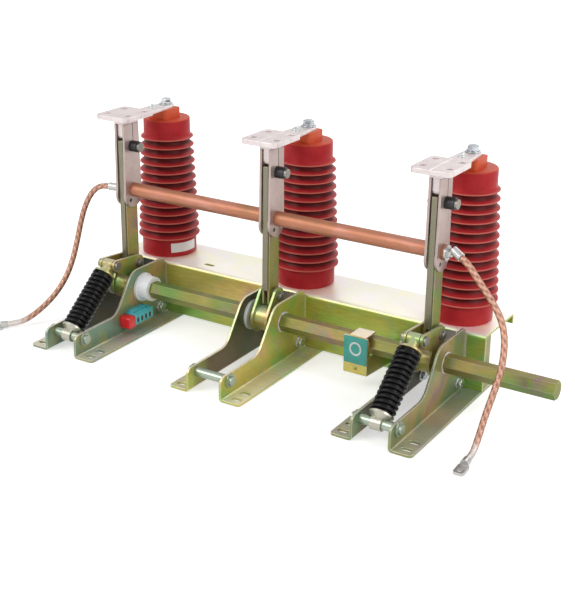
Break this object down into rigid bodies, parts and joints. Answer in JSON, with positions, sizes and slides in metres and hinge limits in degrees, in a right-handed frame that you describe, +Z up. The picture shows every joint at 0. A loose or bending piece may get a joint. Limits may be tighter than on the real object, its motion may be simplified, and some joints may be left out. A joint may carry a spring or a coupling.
{
  "type": "earthing switch",
  "caption": "Indoor earthing switch: hexagonal shaft swings blades on a copper cross bar out of fixed contacts on ribbed post insulators, on a bent sheet frame with springs.",
  "frame": {"origin": "on the floor, centre of the middle bracket's outer foot slots, straight under the shaft's axis", "axes": "+X along the shaft to its drive end, +Y to the rear where the insulators stand, +Z up"},
  "size_m": [0.7678, 0.2897, 0.2966],
  "materials": {
    "zinc_steel": "yellow chromate zinc plating with green and pink tints",
    "bright_zinc": "bright zinc plating",
    "red_epoxy": "semi-gloss cast epoxy resin",
    "silvered_casting": "satin silver-plated copper casting",
    "silvered_copper": "satin silver-plated copper strip",
    "copper": "drawn copper, slightly tarnished",
    "copper_braid": "bare braided copper wire",
    "tinned_lug": "tinned copper",
    "white_nylon": "matt white nylon",
    "black_sleeve": "black rubbery sleeve",
    "black_spring": "black oiled spring wire",
    "cyan_plastic": "moulded plastic",
    "red_plastic": "moulded plastic"
  },
  "bodies": {
    "root": {"beam": "zinc_steel", "plate_left_1": "zinc_steel", "plate_right_1": "zinc_steel", "plate_left_2": "zinc_steel", "plate_right_2": "zinc_steel", "plate_left_3": "zinc_steel", "plate_right_3": "zinc_steel", "insulator_1": "red_epoxy", "insulator_2": "red_epoxy", "insulator_3": "red_epoxy", "fixed_contact_1": "silvered_casting", "fixed_contact_2": "silvered_casting", "fixed_contact_3": "silvered_casting", "terminal_bolts": "bright_zinc", "base_bolts": "bright_zinc", "cross_pins": "bright_zinc", "bracket_bolts": "bright_zinc", "indicator_bracket": "zinc_steel", "connector_base": "cyan_plastic", "connector_plug": "red_plastic", "braid_left": "copper_braid", "braid_right": "copper_braid", "far_lug_left": "tinned_lug", "far_lug_right": "tinned_lug"},
    "rotor": {"shaft": "zinc_steel", "shaft_bushings": "white_nylon", "arm_1": "zinc_steel", "arm_2": "zinc_steel", "arm_3": "zinc_steel", "crank_1": "zinc_steel", "crank_2": "zinc_steel", "crank_3": "zinc_steel", "blades_1": "silvered_copper", "blades_2": "silvered_copper", "blades_3": "silvered_copper", "clamp_bolts": "bright_zinc", "clamp_sleeves": "black_sleeve", "crank_bolts": "bright_zinc", "cross_bar": "copper", "crank_pins": "bright_zinc", "bar_lug_left": "tinned_lug", "bar_lug_right": "tinned_lug"},
    "lower_guide_left_body": {"lower_guide_left": "zinc_steel", "spring_left": "black_spring"},
    "lower_guide_right_body": {"lower_guide_right": "zinc_steel", "spring_right": "black_spring"},
    "upper_guide_left_body": {"upper_guide_left": "zinc_steel"},
    "upper_guide_right_body": {"upper_guide_right": "zinc_steel"}
  },
  "joints": [
    {"name": "shaft_turn", "type": "hinge", "parent": "root", "child": "rotor", "pos_m": [0, 0, 0.056], "axis": [1, 0, 0], "range_deg": [0, 85], "deforming": ["spring_left", "spring_right", "braid_left", "braid_right"]},
    {"name": "lower_guide_left_turn", "type": "hinge", "parent": "root", "child": "lower_guide_left_body", "pos_m": [-0.23, -0.124, 0.022], "axis": [1, 0, 0], "range_deg": [-39.29, 1]},
    {"name": "upper_guide_left_turn", "type": "hinge", "parent": "rotor", "child": "upper_guide_left_body", "pos_m": [-0.23, -0.036, 0.094], "axis": [1, 0, 0], "range_deg": [-124.29, 1]},
    {"name": "lower_guide_right_turn", "type": "hinge", "parent": "root", "child": "lower_guide_right_body", "pos_m": [0.23, -0.124, 0.022], "axis": [1, 0, 0], "range_deg": [-39.29, 1]},
    {"name": "upper_guide_right_turn", "type": "hinge", "parent": "rotor", "child": "upper_guide_right_body", "pos_m": [0.23, -0.036, 0.094], "axis": [1, 0, 0], "range_deg": [-124.29, 1]}
  ],
  "couplings": [
    {"joint": "lower_guide_left_turn", "follows": "shaft_turn", "ratio": -0.45046},
    {"joint": "upper_guide_left_turn", "follows": "shaft_turn", "ratio": -1.4505},
    {"joint": "lower_guide_right_turn", "follows": "shaft_turn", "ratio": -0.45046},
    {"joint": "upper_guide_right_turn", "follows": "shaft_turn", "ratio": -1.4505}
  ]
}
